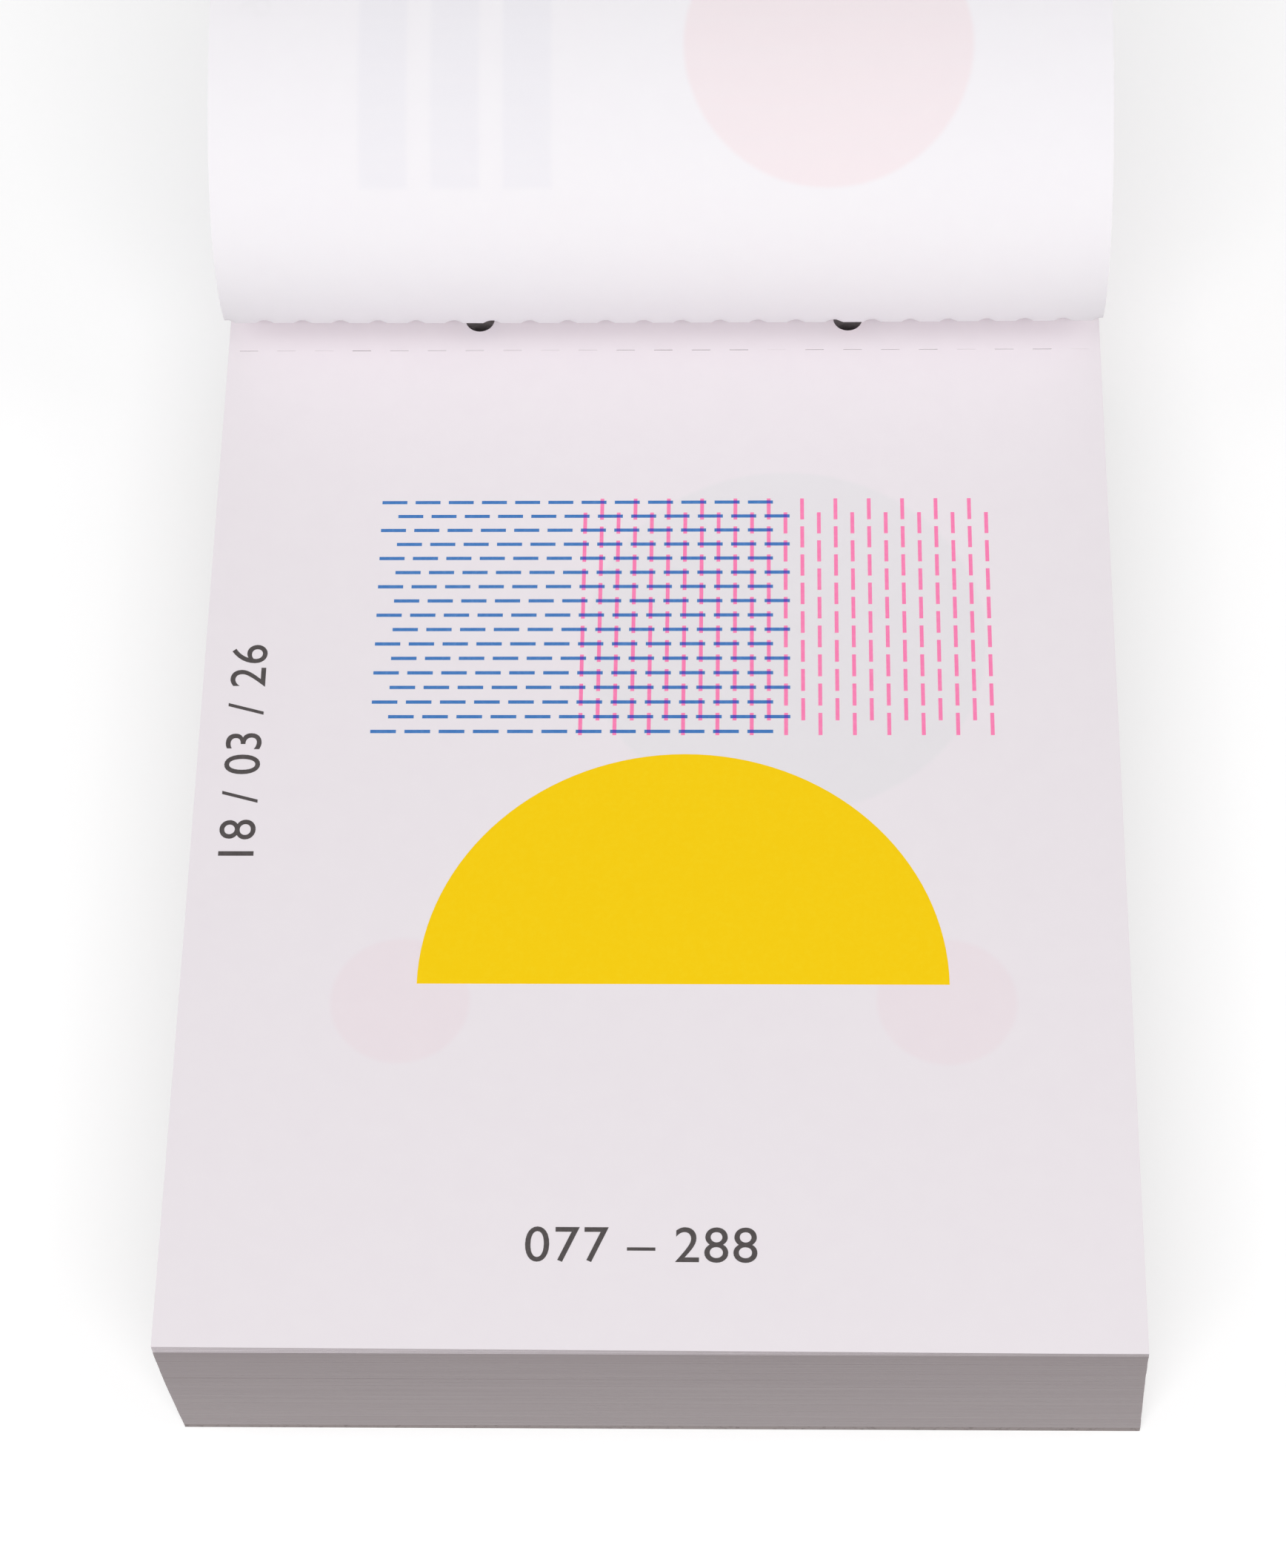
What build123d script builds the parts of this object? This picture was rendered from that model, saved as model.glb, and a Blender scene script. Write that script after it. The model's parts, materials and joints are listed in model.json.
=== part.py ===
"""Tear-off day calendar: a padded block of perforated leaves with one leaf turned up and back.

Frame: origin at the centre of the backing board's underside, +X to the right of the page,
+Y towards the glued head edge, +Z up out of the page. Millimetres and degrees.
"""
from build123d import *
import os
from math import cos, degrees, radians, sin

# Block
LEAF_WIDTH = 150.0
BLOCK_LENGTH = 200.0
STUB_LENGTH = 15.5
LEAF_CALIPER = 0.109
BOARD_THICKNESS = 1.5
GLUE_THICKNESS = 0.4

# Hanging holes, drilled through the board and the stubs
HOLE_DIAMETER = 5.0
HOLE_SPACING = 63.5
HOLE_TO_HEAD = 9.0

# Perforation: a row of slits, with ties of uncut paper between them
SLIT_LENGTH = 3.2
SLIT_PITCH = 6.5
SLIT_WIDTH = 0.16

# Turned leaf: its stub is peeled up off the block, and the leaf arches back from the fold.
# A bend is (length, radius) on the printed side, and the tail takes the length that is left.
GLUED_DEPTH = 1.5
STUB_BEND_RADIUS = 4.0
STUB_LIFT = 29.0
FOLD_ANGLE = 42.3
LEAF_BENDS = [(24.0, 27.5), (14.0, 33.0), (22.0, 63.0), (45.0, 104.0)]
TAIL_RADIUS = 205.0

# Leaves on the block, from the board up to the leaf under the one that shows
PACKETS = {
    "december": 31,
    "november": 30,
    "october": 31,
    "september": 30,
    "august": 31,
    "july": 31,
    "june": 30,
    "may": 31,
    "april": 30,
    "late_march": 4,
}
SINGLE_MARCH_DAYS = range(27, 18, -1)

# Places along Y that follow from the sizes above
head_y = BLOCK_LENGTH / 2
tail_y = -BLOCK_LENGTH / 2
perforation_y = head_y - STUB_LENGTH
hole_y = head_y - HOLE_TO_HEAD


def slit_centres():
    """Places along X of the slits, with one in the middle and a tie at each side edge."""
    half_count = int((LEAF_WIDTH - SLIT_LENGTH) / 2 // SLIT_PITCH)
    return [index * SLIT_PITCH for index in range(-half_count, half_count + 1)]


def hole_centres():
    """Places along X of the hanging holes."""
    return [-HOLE_SPACING / 2, HOLE_SPACING / 2]


def page(y_low, y_high):
    """Sketch of a rectangle of the leaf's width between two places along Y."""
    return Pos(0, (y_low + y_high) / 2) * Rectangle(LEAF_WIDTH, y_high - y_low)


def holes():
    """Sketch of the hanging holes."""
    return Sketch() + [Pos(x, hole_y) * Circle(HOLE_DIAMETER / 2) for x in hole_centres()]


def slits():
    """Sketch of the perforation, half of each slit on either side of its line."""
    return Sketch() + [Pos(x, perforation_y) * Rectangle(SLIT_LENGTH, SLIT_WIDTH) for x in slit_centres()]


def layer(sketch, z, thickness):
    """A flat layer of paper or board that stands on the level z."""
    return Pos(0, 0, z) * extrude(sketch, thickness)


def move(point, heading, distance):
    """The point a distance away in the YZ plane, with the heading counted from +Y towards +Z."""
    return (point[0] + distance * cos(radians(heading)), point[1] + distance * sin(radians(heading)))


def bend_line(start, heading, bends, offset):
    """Tangent straights and arcs in the YZ plane along a sheet, offset from its printed side.

    A bend with no radius is straight. Every other one turns towards the printed side.
    """
    point = move(start, heading + 90, offset)
    edges = []
    for length, radius in bends:
        if radius is None:
            edges.append(Line(point, move(point, heading, length)))
        else:
            sweep = degrees(length / radius)
            edges.append(JernArc(point, move((0, 0), heading, 1), radius + offset, -sweep))
            heading -= sweep
        point = (edges[-1] @ 1).X, (edges[-1] @ 1).Y
    return edges


def bent_sheet(start, heading, bends):
    """A leaf's paper across its full width, with the printed side along the bends."""
    printed = bend_line(start, heading, bends, 0)
    back = bend_line(start, heading, bends, LEAF_CALIPER)
    ends = [Line(printed[0] @ 0, back[0] @ 0), Line(printed[-1] @ 1, back[-1] @ 1)]
    profile = Plane.YZ * make_face(printed + back + ends)
    return extrude(profile, LEAF_WIDTH / 2, both=True)


def through_sheet(xs, point, heading, tool):
    """Copies of a cutting tool along X at a point of a bent sheet, turned to its heading."""
    return [Pos(x, point[0], point[1]) * Rot(heading, 0, 0) * tool for x in xs]


def turned_leaf_pieces(level):
    """The turned leaf's stub and the leaf itself, which meet at the ties of its perforation."""
    stub_start = (head_y, level + LEAF_CALIPER)
    bend_length = STUB_BEND_RADIUS * radians(STUB_LIFT)
    stub_bends = [
        (GLUED_DEPTH, None),
        (bend_length, STUB_BEND_RADIUS),
        (STUB_LENGTH - GLUED_DEPTH - bend_length, None),
    ]
    stub_line = bend_line(stub_start, 180, stub_bends, 0)
    fold = (stub_line[-1] @ 1).X, (stub_line[-1] @ 1).Y
    stub_heading = 180 - STUB_LIFT
    leaf_heading = stub_heading - FOLD_ANGLE
    tail_length = BLOCK_LENGTH - STUB_LENGTH - sum(length for length, radius in LEAF_BENDS)

    cut_reach = 10 * LEAF_CALIPER
    slit = Box(SLIT_LENGTH, SLIT_WIDTH, cut_reach)
    hole = Cylinder(HOLE_DIAMETER / 2, cut_reach)
    hole_point = move(fold, stub_heading, HOLE_TO_HEAD - STUB_LENGTH)
    stub = bent_sheet(stub_start, 180, stub_bends)
    stub -= through_sheet(hole_centres(), hole_point, stub_heading, hole)
    stub -= through_sheet(slit_centres(), fold, stub_heading, slit)
    leaf = bent_sheet(fold, leaf_heading, LEAF_BENDS + [(tail_length, TAIL_RADIUS)])
    leaf -= through_sheet(slit_centres(), fold, leaf_heading, slit)
    return stub, leaf


whole_leaf = page(tail_y, head_y) - holes()
nodes = {"backing_board": layer(whole_leaf, 0, BOARD_THICKNESS)}
top = BOARD_THICKNESS
for packet, count in PACKETS.items():
    nodes[f"{packet}_leaves"] = layer(whole_leaf, top, count * LEAF_CALIPER)
    top += count * LEAF_CALIPER
for day in SINGLE_MARCH_DAYS:
    nodes[f"march_{day}_leaf"] = layer(whole_leaf - slits(), top, LEAF_CALIPER)
    top += LEAF_CALIPER
nodes["showing_stub"] = layer(page(perforation_y, head_y) - holes() - slits(), top, LEAF_CALIPER)
nodes["showing_leaf"] = layer(page(tail_y, perforation_y) - slits(), top, LEAF_CALIPER)
top += LEAF_CALIPER
nodes["turned_stub"], nodes["turned_leaf"] = turned_leaf_pieces(top)
nodes["glue_binding"] = layer(page(head_y, head_y + GLUE_THICKNESS), 0, top + LEAF_CALIPER)

os.makedirs("parts", exist_ok=True)
for name, piece in nodes.items():
    export_step(piece, f"parts/{name}.step")
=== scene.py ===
"""Tear-off day calendar: a padded block of dated leaves, with one leaf turned up and back.

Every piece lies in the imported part's frame: metres, +X to the right of the page, +Y to the glued
head edge, +Z up out of the page, and the backing board's underside at the origin's level.
"""
import functools
import json
import math

import bmesh
import bpy
import numpy as np
from mathutils import Matrix, Vector


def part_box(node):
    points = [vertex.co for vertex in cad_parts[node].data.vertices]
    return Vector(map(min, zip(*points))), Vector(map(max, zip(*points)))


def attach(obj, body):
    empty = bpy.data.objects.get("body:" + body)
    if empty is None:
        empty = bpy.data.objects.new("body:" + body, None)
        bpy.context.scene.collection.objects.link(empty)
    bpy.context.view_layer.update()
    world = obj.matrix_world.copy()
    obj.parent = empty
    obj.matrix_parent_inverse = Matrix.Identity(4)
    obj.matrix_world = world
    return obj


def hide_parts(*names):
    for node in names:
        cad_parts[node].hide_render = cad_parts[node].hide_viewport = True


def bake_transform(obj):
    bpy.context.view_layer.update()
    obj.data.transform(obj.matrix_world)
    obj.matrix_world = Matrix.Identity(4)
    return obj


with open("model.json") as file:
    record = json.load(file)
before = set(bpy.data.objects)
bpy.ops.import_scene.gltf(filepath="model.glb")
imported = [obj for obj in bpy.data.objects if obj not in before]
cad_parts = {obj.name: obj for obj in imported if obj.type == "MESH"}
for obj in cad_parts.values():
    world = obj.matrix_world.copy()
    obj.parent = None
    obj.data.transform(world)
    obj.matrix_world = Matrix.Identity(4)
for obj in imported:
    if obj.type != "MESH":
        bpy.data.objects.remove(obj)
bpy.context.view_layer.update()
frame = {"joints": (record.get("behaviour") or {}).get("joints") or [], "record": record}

# Backing board: 1.5 mm greyboard, pressed from waste paper and left unlined.
# It is the bottom sheet of the pad, trimmed and drilled in one go with the leaves on it.
MM = 0.001
board_low, board_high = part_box("backing_board")
TAIL_Y = board_low.y
HEAD_Y = board_high.y
BLOCK_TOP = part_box("showing_leaf")[1].z
drilled = [mount for mount in frame["record"]["mounts"] if mount["kind"] == "bore"]
hole_xs = [mount["pos_m"][0] for mount in drilled]
HOLE_DIAMETER = 2 * drilled[0]["dims"]["r_mm"] * MM
HOLE_SPACING = hole_xs[1] - hole_xs[0]
HOLE_Y = drilled[0]["pos_m"][1]
HOLE_SIDES = 32
MERGE_REACH = 0.001 * MM

# The pad has slipped a little out of square: the board lies this far right and back of the top leaf
BLOCK_LEAN = Vector((1.1, 0.55, 0)) * MM
LEAN_POWER = 1.4


def linear(hex_colour):
    """Linear RGBA of an sRGB hex colour."""
    shares = [int(hex_colour[start:start + 2], 16) / 255 for start in (1, 3, 5)]
    return [c / 12.92 if c <= 0.04045 else ((c + 0.055) / 1.055) ** 2.4 for c in shares] + [1]


def add_node(tree, kind, inputs=None, **settings):
    """Adds a node with its settings, and sets its inputs or links them, to a node by its first output."""
    node = tree.nodes.new(kind)
    for name, value in settings.items():
        setattr(node, name, value)
    for socket, value in (inputs or {}).items():
        if isinstance(value, bpy.types.Node):
            value = value.outputs[0]
        if isinstance(value, bpy.types.NodeSocket):
            tree.links.new(value, node.inputs[socket])
        else:
            node.inputs[socket].default_value = value
    return node


def new_material(name, roughness, ior, specular=0.5):
    """A material with its node tree and its surface shader, finished as given."""
    material = bpy.data.materials.new(name)
    material.use_nodes = True
    surface = material.node_tree.nodes["Principled BSDF"]
    surface.inputs["Roughness"].default_value = roughness
    surface.inputs["IOR"].default_value = ior
    surface.inputs["Specular IOR Level"].default_value = specular
    return material, material.node_tree, surface


def grained_material(name, finish, colours, grain, noise, spread, relief):
    """A material of two colours that mingle in a grain of the given sizes, over a spread of its noise."""
    material, tree, surface = new_material(name, **finish)
    place = add_node(tree, "ShaderNodeTexCoord").outputs["Object"]
    sized = add_node(tree, "ShaderNodeMapping", {"Vector": place, "Scale": [1 / size for size in grain]})
    mottle = add_node(
        tree, "ShaderNodeTexNoise", {"Vector": sized, "Scale": 1.0, "Detail": 4, "Roughness": noise}
    )
    share = add_node(
        tree, "ShaderNodeMapRange", {"Value": mottle, "From Min": spread[0], "From Max": spread[1]}
    )
    mingled = add_node(
        tree, "ShaderNodeMix",
        {"Factor": share, 6: linear(colours[0]), 7: linear(colours[1])}, data_type="RGBA",
    )
    bump = add_node(
        tree, "ShaderNodeBump", {"Height": mottle, "Strength": relief[0], "Distance": relief[1]}
    )
    tree.links.new(mingled.outputs[2], surface.inputs["Base Color"])
    tree.links.new(bump.outputs[0], surface.inputs["Normal"])
    return material


def new_tree(name, sockets, result):
    """A Geometry Nodes tree with named inputs and one result, what adds a node to it, and the inputs."""
    tree = bpy.data.node_groups.new(name, "GeometryNodeTree")
    for kind, names in sockets.items():
        for socket in names:
            tree.interface.new_socket(socket, in_out="INPUT", socket_type=f"NodeSocket{kind}")
    tree.interface.new_socket(result, in_out="OUTPUT", socket_type="NodeSocketGeometry")
    add_to_tree = functools.partial(add_node, tree)
    return tree, add_to_tree, add_to_tree("NodeGroupInput").outputs


def put(name, data):
    """A new object in the scene, with the mesh or other data that is given."""
    piece = bpy.data.objects.new(name, data)
    bpy.context.scene.collection.objects.link(piece)
    return piece


def worked_out(piece):
    """The plain mesh of an object, with its modifiers or its curve worked out."""
    return bpy.data.meshes.new_from_object(piece.evaluated_get(bpy.context.evaluated_depsgraph_get()))


def grow(name, tree, values, points=(), edges=()):
    """A plain mesh object of what a node tree makes of some points and edges and the named values."""
    mesh = bpy.data.meshes.new(name)
    mesh.from_pydata(points, edges, [])
    piece = put(name, mesh)
    modifier = piece.modifiers.new(tree.name, "NODES")
    modifier.node_group = tree
    for socket in tree.interface.items_tree:
        if socket.in_out == "INPUT" and socket.name in values:
            modifier[socket.identifier] = values[socket.name]
    plain = worked_out(piece)
    piece.modifiers.clear()
    piece.data = plain
    bpy.data.meshes.remove(mesh)
    plain.name = name
    return piece


# Grey pulp with darker fibre flecks about a millimetre long, soft and dull all over
BOARD_COLOURS = ("#978e8d", "#7d7473")
BOARD_FLECK_SIZE = 1.2 * MM
greyboard = grained_material(
    "greyboard", {"roughness": 0.92, "ior": 1.45}, BOARD_COLOURS, [BOARD_FLECK_SIZE] * 3,
    noise=0.7, spread=(0.52, 0.68), relief=(0.4, 0.05 * MM),
)

# Node tree of a stack of sheets: an outline is drilled, perforated, filled and given its thickness,
# then laid on itself as often as the stack has sheets, each a hair out of line with the one below
EDGE_TILT = 0.5
drilled_sheets, sheet_node, given = new_tree(
    "drilled_sheets",
    {
        "Geometry": ["Outline"],
        "Float": [
            "Thickness", "Pitch", "Level", "Block Top", "Lean Power", "Skew", "Hole Diameter",
            "Hole Spacing", "Hole Y", "Slit Pitch", "Slit Length", "Slit Width", "Perforation Y",
        ],
        "Int": ["Count", "Slit Count", "Seed"],
        "Vector": ["Lean", "Shift", "Scatter"],
        "Material": ["Face Material", "Edge Material"],
    },
    "Sheets",
)

hole_radius = sheet_node("ShaderNodeMath", {0: given["Hole Diameter"], 1: 0.5}, operation="MULTIPLY")
first_hole_x = sheet_node("ShaderNodeMath", {0: given["Hole Spacing"], 1: -0.5}, operation="MULTIPLY")
first_hole = sheet_node("ShaderNodeCombineXYZ", {"X": first_hole_x, "Y": given["Hole Y"]})
hole_step = sheet_node("ShaderNodeCombineXYZ", {"X": given["Hole Spacing"]})
hole_places = sheet_node(
    "GeometryNodeMeshLine", {"Count": 2, "Start Location": first_hole, "Offset": hole_step}
)
hole_ring = sheet_node(
    "GeometryNodeCurvePrimitiveCircle", {"Resolution": HOLE_SIDES, "Radius": hole_radius}
)
holes = sheet_node("GeometryNodeInstanceOnPoints", {"Points": hole_places, "Instance": hole_ring})

slit_gaps = sheet_node("ShaderNodeMath", {0: given["Slit Count"], 1: 1.0}, operation="SUBTRACT")
slit_span = sheet_node("ShaderNodeMath", {0: slit_gaps, 1: given["Slit Pitch"]}, operation="MULTIPLY")
first_slit_x = sheet_node("ShaderNodeMath", {0: slit_span, 1: -0.5}, operation="MULTIPLY")
first_slit = sheet_node("ShaderNodeCombineXYZ", {"X": first_slit_x, "Y": given["Perforation Y"]})
slit_step = sheet_node("ShaderNodeCombineXYZ", {"X": given["Slit Pitch"]})
slit_places = sheet_node(
    "GeometryNodeMeshLine",
    {"Count": given["Slit Count"], "Start Location": first_slit, "Offset": slit_step},
)
slit_ring = sheet_node(
    "GeometryNodeCurvePrimitiveQuadrilateral",
    {"Width": given["Slit Length"], "Height": given["Slit Width"]},
)
slits = sheet_node("GeometryNodeInstanceOnPoints", {"Points": slit_places, "Instance": slit_ring})

outline_curve = sheet_node("GeometryNodeMeshToCurve", {"Mesh": given["Outline"]})
cut_lines = sheet_node("GeometryNodeJoinGeometry")
for cut in (slits, holes, outline_curve):
    drilled_sheets.links.new(cut.outputs[0], cut_lines.inputs[0])
cut_curves = sheet_node("GeometryNodeRealizeInstances", {"Geometry": cut_lines})
sheet_face = sheet_node("GeometryNodeFillCurve", {"Curve": cut_curves}, mode="TRIANGLES")
sheet_wall = sheet_node(
    "GeometryNodeExtrudeMesh",
    {"Mesh": sheet_face, "Offset Scale": given["Thickness"], "Individual": False},
)
sheet_underside = sheet_node("GeometryNodeFlipFaces", {"Mesh": sheet_face})
sheet_shell = sheet_node("GeometryNodeJoinGeometry")
for shell_part in (sheet_underside, sheet_wall):
    drilled_sheets.links.new(shell_part.outputs[0], sheet_shell.inputs[0])
single_sheet = sheet_node(
    "GeometryNodeMergeByDistance", {"Geometry": sheet_shell, "Distance": MERGE_REACH}
)

stack_start = sheet_node("ShaderNodeCombineXYZ", {"Z": given["Level"]})
stack_step = sheet_node("ShaderNodeCombineXYZ", {"Z": given["Pitch"]})
stack_places = sheet_node(
    "GeometryNodeMeshLine",
    {"Count": given["Count"], "Start Location": stack_start, "Offset": stack_step},
)
sheet_level = sheet_node("ShaderNodeSeparateXYZ", {0: sheet_node("GeometryNodeInputPosition")}).outputs["Z"]
level_share = sheet_node("ShaderNodeMath", {0: sheet_level, 1: given["Block Top"]}, operation="DIVIDE")
depth_share = sheet_node("ShaderNodeMath", {0: 1.0, 1: level_share}, operation="SUBTRACT")
lean_share = sheet_node("ShaderNodeMath", {0: depth_share, 1: given["Lean Power"]}, operation="POWER")
leaning = sheet_node("ShaderNodeVectorMath", {0: given["Lean"], "Scale": lean_share}, operation="SCALE")
chance = sheet_node(
    "FunctionNodeRandomValue",
    {0: (-1, -1, 0), 1: (1, 1, 0), "Seed": given["Seed"]}, data_type="FLOAT_VECTOR",
)
scattered = sheet_node(
    "ShaderNodeVectorMath",
    {0: chance, 1: given["Scatter"], 2: given["Shift"]}, operation="MULTIPLY_ADD",
)
out_of_line = sheet_node("ShaderNodeVectorMath", {0: leaning, 1: scattered})
laid_places = sheet_node("GeometryNodeSetPosition", {"Geometry": stack_places, "Offset": out_of_line})
skew_angles = sheet_node("ShaderNodeCombineXYZ", {"Z": given["Skew"]})
skew_turn = sheet_node("FunctionNodeEulerToRotation", {0: skew_angles})
laid_sheets = sheet_node(
    "GeometryNodeInstanceOnPoints",
    {"Points": laid_places, "Instance": single_sheet, "Rotation": skew_turn},
)
sheet_tone = sheet_node(
    "FunctionNodeRandomValue", {2: 0.0, 3: 1.0, "Seed": given["Seed"]}, data_type="FLOAT"
).outputs[1]
toned_sheets = sheet_node(
    "GeometryNodeStoreNamedAttribute",
    {"Geometry": laid_sheets, "Name": "sheet_tone", "Value": sheet_tone},
    data_type="FLOAT", domain="INSTANCE",
)
whole_stack = sheet_node("GeometryNodeRealizeInstances", {"Geometry": toned_sheets})
faced_stack = sheet_node(
    "GeometryNodeSetMaterial", {"Geometry": whole_stack, "Material": given["Face Material"]}
)
normal_z = sheet_node("ShaderNodeSeparateXYZ", {0: sheet_node("GeometryNodeInputNormal")}).outputs["Z"]
tilt = sheet_node("ShaderNodeMath", {0: normal_z}, operation="ABSOLUTE")
is_edge = sheet_node(
    "FunctionNodeCompare", {0: tilt, 1: EDGE_TILT}, data_type="FLOAT", operation="LESS_THAN"
)
edged_stack = sheet_node(
    "GeometryNodeSetMaterial",
    {"Geometry": faced_stack, "Selection": is_edge, "Material": given["Edge Material"]},
)
sheet_node("NodeGroupOutput", {"Sheets": edged_stack})

PAGE_CORNERS = [
    (board_low.x, TAIL_Y, 0),
    (board_high.x, TAIL_Y, 0),
    (board_high.x, HEAD_Y, 0),
    (board_low.x, HEAD_Y, 0),
]
PAGE_EDGES = [(0, 1), (1, 2), (2, 3), (3, 0)]
DRILLING = {
    "Block Top": BLOCK_TOP,
    "Lean": BLOCK_LEAN,
    "Lean Power": LEAN_POWER,
    "Hole Diameter": HOLE_DIAMETER,
    "Hole Spacing": HOLE_SPACING,
    "Hole Y": HOLE_Y,
}
board = grow(
    "greyboard_back", drilled_sheets,
    {
        **DRILLING,
        "Thickness": board_high.z - board_low.z,
        "Count": 1,
        "Level": board_low.z,
        "Face Material": greyboard,
        "Edge Material": greyboard,
    },
    PAGE_CORNERS, PAGE_EDGES,
)
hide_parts("backing_board")
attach(board, "block")

# Leaves of April to December, and the last four of March: uncoated 90 g paper, gathered by month.
# The pad was trimmed by guillotine, so its sides are hundreds of cut edges with hairline gaps between.
next_low, next_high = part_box("march_19_leaf")
LEAF_CALIPER = next_high.z - next_low.z
LEAF_FILL = 0.92
LEAF_SCATTER = Vector((0.012, 0.015, 0)) * MM

# How far each packet was knocked out of line before the glue dried: right and back in mm, and degrees round
MONTH_SHIFTS = {
    "december": (0.02, -0.03, 0.03),
    "november": (-0.01, -0.02, 0.03),
    "october": (0.01, -0.03, 0.03),
    "september": (0.00, -0.02, 0.03),
    "august": (-0.02, -0.03, 0.03),
    "july": (-0.03, -0.04, 0.03),
    "june": (-0.01, 0.01, 0.0),
    "may": (0.02, 0.00, 0.0),
    "april": (-0.02, 0.01, 0.0),
    "late_march": (0.01, 0.00, 0.0),
}

# Cut edges of white paper, in fine level streaks: painted shade makes them much greyer than paper edges
# are, for the shade in the hairline gaps and on the pad's sides.
# Painted light makes the edges a little lighter towards the board and a little darker towards the top.
SHADED_EDGE_LIGHT = "#aca4a5"
SHADED_EDGE_DARK = "#938a8c"
STREAK_LENGTH = 35 * MM
STREAK_HEIGHT = 0.5 * MM
SHEET_TONE_SHARE = 0.35
PAINTED_LIGHT_SHARE = 0.25
shaded_cut_edges, edge_tree, edge_surface = new_material("trimmed_paper_edges_painted_shade", roughness=0.95, ior=1.45)
edge_place = add_node(edge_tree, "ShaderNodeTexCoord").outputs["Object"]
edge_stretch = add_node(
    edge_tree, "ShaderNodeMapping",
    {"Vector": edge_place, "Scale": (1 / STREAK_LENGTH, 1 / STREAK_LENGTH, 1 / STREAK_HEIGHT)},
)
edge_streaks = add_node(
    edge_tree, "ShaderNodeTexNoise",
    {"Vector": edge_stretch, "Scale": 1.0, "Detail": 5, "Roughness": 0.65},
)
edge_tone = add_node(edge_tree, "ShaderNodeAttribute", attribute_name="sheet_tone").outputs["Fac"]
edge_blend = add_node(
    edge_tree, "ShaderNodeMath",
    {0: edge_tone, 1: SHEET_TONE_SHARE, 2: edge_streaks}, operation="MULTIPLY_ADD",
)
edge_range = add_node(
    edge_tree, "ShaderNodeMapRange",
    {"Value": edge_blend, "From Min": 0.35, "From Max": 1.0, "To Min": 0.33, "To Max": 0.67},
)
edge_height = add_node(edge_tree, "ShaderNodeSeparateXYZ", {0: edge_place}).outputs["Z"]
# Painted light: lighter towards the board, darker towards the top
edge_painted_light = add_node(
    edge_tree, "ShaderNodeMapRange",
    {"Value": edge_height, "From Max": next_high.z, "To Min": PAINTED_LIGHT_SHARE, "To Max": -PAINTED_LIGHT_SHARE},
)
edge_factor = add_node(edge_tree, "ShaderNodeMath", {0: edge_range, 1: edge_painted_light}, operation="ADD")
# The two edge colours carry painted shade
edge_mix = add_node(
    edge_tree, "ShaderNodeMix",
    {"Factor": edge_factor, 6: linear(SHADED_EDGE_DARK), 7: linear(SHADED_EDGE_LIGHT)}, data_type="RGBA",
)
edge_tree.links.new(edge_mix.outputs[2], edge_surface.inputs["Base Color"])

LEAF_STOCK = {
    **DRILLING,
    "Thickness": LEAF_FILL * LEAF_CALIPER,
    "Scatter": LEAF_SCATTER,
    "Edge Material": shaded_cut_edges,
}
for seed, (month, (shift_x, shift_y, skew)) in enumerate(MONTH_SHIFTS.items()):
    packet_low, packet_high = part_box(f"{month}_leaves")
    packet = grow(
        f"{month}_leaf_packet", drilled_sheets,
        {
            **LEAF_STOCK,
            "Pitch": LEAF_CALIPER,
            "Count": round((packet_high.z - packet_low.z) / LEAF_CALIPER),
            "Level": packet_low.z,
            "Shift": Vector((shift_x, shift_y, 0)) * MM,
            "Skew": math.radians(skew),
            "Seed": seed,
            "Face Material": shaded_cut_edges,
        },
        PAGE_CORNERS, PAGE_EDGES,
    )
    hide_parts(f"{month}_leaves")
    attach(packet, "block")

# Leaves of 19 to 27 March, next in turn: single sheets with a row of slits under the stub.
# The slits leave ties of uncut paper between them, which tear when the day is done.
SLIT_LENGTH = 3.2 * MM
SLIT_WIDTH = 0.16 * MM
SLIT_PITCH = 6.5 * MM
SLIT_COUNT = 23
joints = {joint["name"]: joint for joint in frame["joints"]}
PERFORATION_Y = joints["showing_leaf_fold"]["pos_m"][1]
NEXT_DAYS = range(27, 18, -1)

# Uncoated white paper: matt, with a faint cloudy look from its fibres and a fine tooth.
# The tooth is really about 0.1 mm and is drawn at half a millimetre, so that it can show.
PAPER_WHITE = "#eae4e8"
PAPER_CLOUD = "#e7e0e5"
CLOUD_SIZE = 5 * MM
TOOTH_SIZE = 0.5 * MM
SHOW_THROUGH_BLUR = 0.6 * MM


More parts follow.
